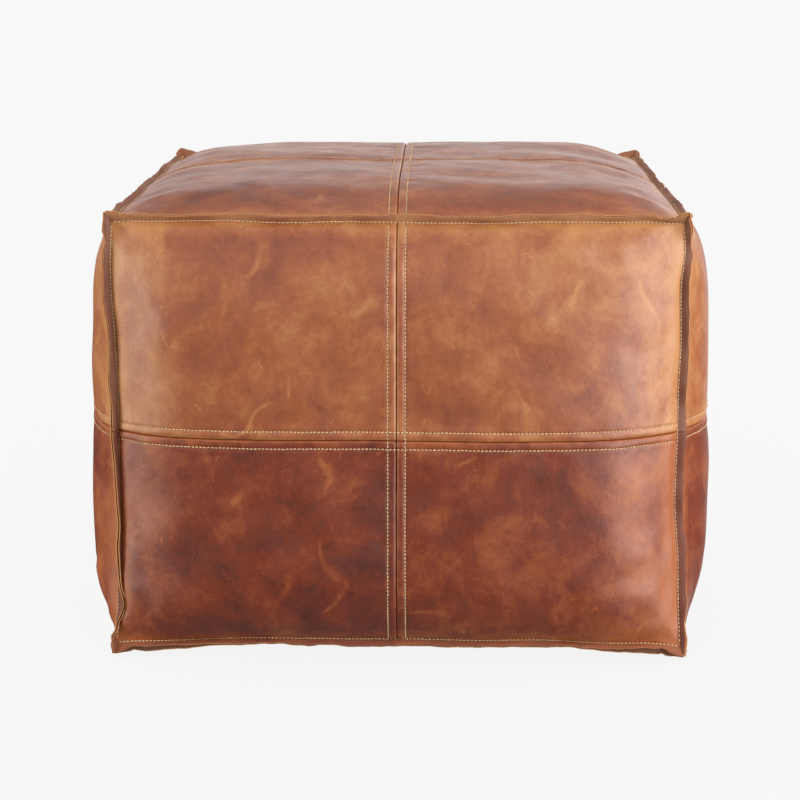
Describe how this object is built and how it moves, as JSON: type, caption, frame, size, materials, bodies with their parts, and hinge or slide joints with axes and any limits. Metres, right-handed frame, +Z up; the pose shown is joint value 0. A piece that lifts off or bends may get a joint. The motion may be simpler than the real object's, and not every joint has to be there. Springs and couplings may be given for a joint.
{
  "type": "leather floor pouf",
  "caption": "Square stuffed leather floor pouf: a cube cover sewn from quarter panels with raw outward seam flanges and a zip in the base.",
  "frame": {"origin": "on the floor, under the middle of the pouf", "axes": "+Z up, the front faces -Y, +X to the right seen from the front"},
  "size_m": [0.6008, 0.6008, 0.444],
  "materials": {
    "leather_upper": "waxed pull-up leather, satin, cloudy tan mottling",
    "leather_lower": "waxed pull-up leather, satin, deeper brown mottling",
    "leather_top": "waxed pull-up leather, satin",
    "leather_base": "waxed pull-up leather, slightly worn",
    "cotton": "plain woven cotton",
    "fibre": "loose white fibre",
    "thread": "waxed cream sewing thread",
    "zip_tape": "woven tape",
    "zip_coil": "nylon coil",
    "brass": "brushed antique brass"
  },
  "bodies": {
    "cover": {"back_lower_left_panel": "leather_lower", "back_lower_right_panel": "leather_lower", "back_stitching": "thread", "back_upper_left_panel": "leather_upper", "back_upper_right_panel": "leather_upper", "base_back_left_panel": "leather_base", "base_back_right_panel": "leather_base", "base_front_left_panel": "leather_base", "base_front_right_panel": "leather_base", "base_left_stitching": "thread", "base_right_stitching": "thread", "corner_back_left_thread": "thread", "corner_back_right_thread": "thread", "corner_front_left_thread": "thread", "corner_front_right_thread": "thread", "fibre_filling": "fibre", "front_lower_left_panel": "leather_lower", "front_lower_right_panel": "leather_lower", "front_stitching": "thread", "front_upper_left_panel": "leather_upper", "front_upper_right_panel": "leather_upper", "hem_back_thread": "thread", "hem_front_thread": "thread", "hem_left_thread": "thread", "hem_right_thread": "thread", "inner_cotton_bag": "cotton", "left_lower_back_panel": "leather_lower", "left_lower_front_panel": "leather_lower", "left_stitching": "thread", "left_upper_back_panel": "leather_upper", "left_upper_front_panel": "leather_upper", "right_lower_back_panel": "leather_lower", "right_lower_front_panel": "leather_lower", "right_stitching": "thread", "right_upper_back_panel": "leather_upper", "right_upper_front_panel": "leather_upper", "top_back_left_panel": "leather_top", "top_back_right_panel": "leather_top", "top_edge_back_thread": "thread", "top_edge_front_thread": "thread", "top_edge_left_thread": "thread", "top_edge_right_thread": "thread", "top_front_left_panel": "leather_top", "top_front_right_panel": "leather_top", "top_stitching": "thread", "zip_bottom_stop": "brass", "zip_coil_left": "zip_coil", "zip_coil_right": "zip_coil", "zip_tape_left": "zip_tape", "zip_tape_right": "zip_tape", "zip_top_stop_left": "brass", "zip_top_stop_right": "brass"},
    "slider": {"zip_slider": "brass"},
    "pull": {"zip_pull": "brass"}
  },
  "joints": [
    {"name": "zip_slide", "type": "slide", "parent": "cover", "child": "slider", "axis": [0, -1, 0], "range_m": [0, 0.386]},
    {"name": "pull_swing", "type": "hinge", "parent": "slider", "child": "pull", "pos_m": [0, 0.193, 0.0064], "axis": [1, 0, 0], "range_deg": [0, 170]}
  ]
}
